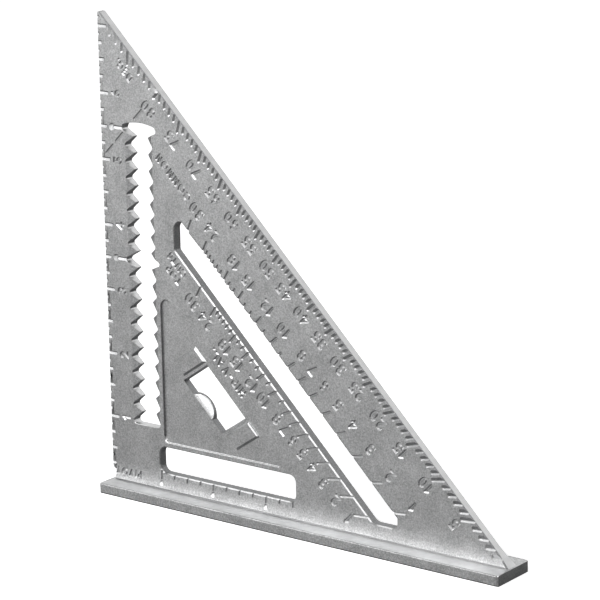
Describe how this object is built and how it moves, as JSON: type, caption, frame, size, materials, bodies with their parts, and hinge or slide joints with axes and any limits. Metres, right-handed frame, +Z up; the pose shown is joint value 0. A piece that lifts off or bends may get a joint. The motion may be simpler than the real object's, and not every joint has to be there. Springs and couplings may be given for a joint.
{
  "type": "rafter square",
  "caption": "Cast aluminium rafter square: right triangular web on a T fence, with a notched scribing slot, a long diagonal slot, a lower slot and a window with a thumb tab.",
  "frame": {"origin": "centre of the part's footprint (the middle of its bounding box), on the fence's underside", "axes": "+X along the fence from the pivot corner to the end of the long edge, +Y from the numbered face through the web to its back, +Z up the scale edge, square to the fence"},
  "size_m": [0.185, 0.0206, 0.1869],
  "materials": {
    "cast_aluminium": "fine blasted casting, satin, with brighter machined edges"
  },
  "bodies": {
    "root": {"fence": "cast_aluminium", "scale_leg": "cast_aluminium", "protractor_arm": "cast_aluminium", "center_web": "cast_aluminium", "thumb_tab": "cast_aluminium"}
  },
  "joints": []
}
